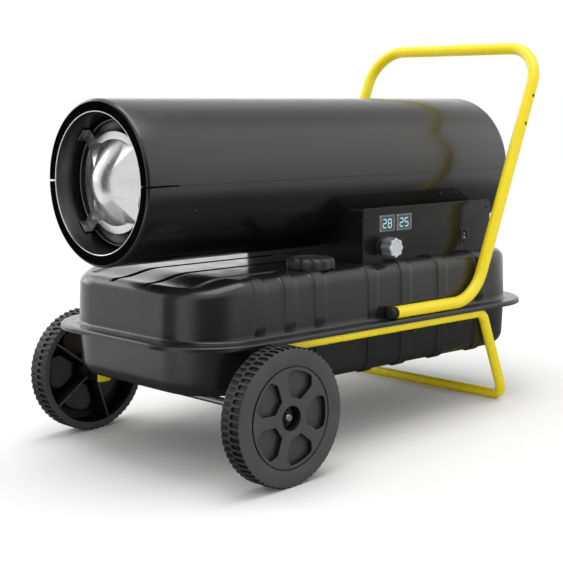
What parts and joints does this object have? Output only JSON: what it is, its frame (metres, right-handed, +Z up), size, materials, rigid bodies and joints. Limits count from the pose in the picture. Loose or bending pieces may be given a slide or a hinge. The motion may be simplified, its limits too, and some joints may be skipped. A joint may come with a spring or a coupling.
{
  "type": "forced air heater",
  "caption": "Mobile fuel-burning forced air heater: a round barrel with burner and fan over a pressed fuel tank, with wheels, push handle, rear stand and side control panel.",
  "frame": {"origin": "middle of the footprint, on the floor", "axes": "+X across, towards the control panel side; +Y rearwards, from the hot outlet to the fan and handle end; +Z up"},
  "size_m": [0.5046, 0.8214, 0.6043],
  "materials": {
    "satin_black": "satin black paint on pressed steel",
    "yellow_paint": "gloss yellow powder paint on steel tube",
    "wheel_plastic": "moulded dark grey plastic with a fine grain",
    "bright_steel": "bright plated steel",
    "cast_alloy": "cast alloy",
    "hot_steel": "stainless sheet",
    "gloss_black": "gloss black powder paint on sheet steel",
    "black_plastic": "moulded black plastic",
    "cap_plastic": "moulded dark plastic cap",
    "zinc_steel": "zinc plated steel",
    "silver_plastic": "silver painted plastic",
    "rubber_black": "black rubber",
    "ceramic": "white ceramic insulator",
    "display_grey": "display window",
    "brass": "turned brass",
    "board_green": "green circuit board"
  },
  "bodies": {
    "heater_body": {"tank_upper_shell": "satin_black", "tank_lower_shell": "satin_black", "stand_frame": "yellow_paint", "rear_guard": "satin_black", "handle_tube": "yellow_paint", "flame_diffuser": "bright_steel", "combustion_chamber": "hot_steel", "lower_body_shell": "gloss_black", "filler_strainer": "black_plastic", "outlet_shield": "hot_steel", "upper_body_shell": "gloss_black", "burner_head": "cast_alloy", "motor": "cast_alloy", "diffuser_spider": "bright_steel", "control_box": "gloss_black", "filler_neck": "satin_black", "chamber_support_front": "zinc_steel", "chamber_support_rear": "zinc_steel", "motor_bracket": "zinc_steel", "control_panel": "gloss_black", "pump_body": "cast_alloy", "axle": "zinc_steel", "ignition_transformer": "black_plastic", "pump_cover": "cast_alloy", "fuel_line": "rubber_black", "fuel_pickup": "black_plastic", "cord_gland": "black_plastic", "air_filter": "black_plastic", "axle_washer_right": "zinc_steel", "axle_spacer_right": "zinc_steel", "axle_washer_left": "zinc_steel", "axle_spacer_left": "zinc_steel", "igniter": "ceramic", "handle_plug_right": "rubber_black", "handle_plug_left": "rubber_black", "split_pin_right": "bright_steel", "split_pin_left": "bright_steel", "display_1": "display_grey", "display_2": "display_grey", "fuel_nozzle": "brass", "flame_sensor": "black_plastic", "frame_bolt_right_1": "zinc_steel", "frame_bolt_right_2": "zinc_steel", "frame_bolt_left_1": "zinc_steel", "frame_bolt_left_2": "zinc_steel", "drain_plug": "zinc_steel", "switch_housing": "black_plastic", "circuit_board": "board_green"},
    "wheel_right_body": {"wheel_right": "wheel_plastic"},
    "wheel_left_body": {"wheel_left": "wheel_plastic"},
    "fan_rotor_body": {"motor_shaft": "bright_steel", "fan": "cast_alloy", "pump_rotor": "black_plastic"},
    "cap_lift_body": {"cap_gasket": "rubber_black"},
    "cap_body": {"fuel_cap": "cap_plastic"},
    "knob_body": {"knob_skirt": "black_plastic", "thermostat_knob": "silver_plastic"},
    "rocker_body": {"power_rocker": "black_plastic"}
  },
  "joints": [
    {"name": "wheel_right_spin", "type": "hinge", "parent": "heater_body", "child": "wheel_right_body", "pos_m": [0.2333, -0.27712, 0.1], "axis": [1, 0, 0], "continuous": true},
    {"name": "wheel_left_spin", "type": "hinge", "parent": "heater_body", "child": "wheel_left_body", "pos_m": [-0.2333, -0.27712, 0.1], "axis": [1, 0, 0], "continuous": true},
    {"name": "fan_spin", "type": "hinge", "parent": "heater_body", "child": "fan_rotor_body", "pos_m": [0, 0.0584, 0.40506], "axis": [0, 0.9988, -0.0495], "continuous": true},
    {"name": "cap_lift", "type": "slide", "parent": "heater_body", "child": "cap_lift_body", "axis": [0, 0.0495, 0.9988], "range_m": [0, 0.04]},
    {"name": "cap_turn", "type": "hinge", "parent": "cap_lift_body", "child": "cap_body", "pos_m": [0.13, -0.10961, 0.28793], "axis": [0, 0.0495, 0.9988], "range_deg": [0, 120]},
    {"name": "knob_turn", "type": "hinge", "parent": "heater_body", "child": "knob_body", "pos_m": [0.15, 0.02597, 0.29623], "axis": [1, 0, 0], "range_deg": [-135, 135]},
    {"name": "rocker_tilt", "type": "hinge", "parent": "heater_body", "child": "rocker_body", "pos_m": [0.1455, 0.23286, 0.28898], "axis": [0, 0.9988, -0.0495], "range_deg": [-12, 12]}
  ]
}
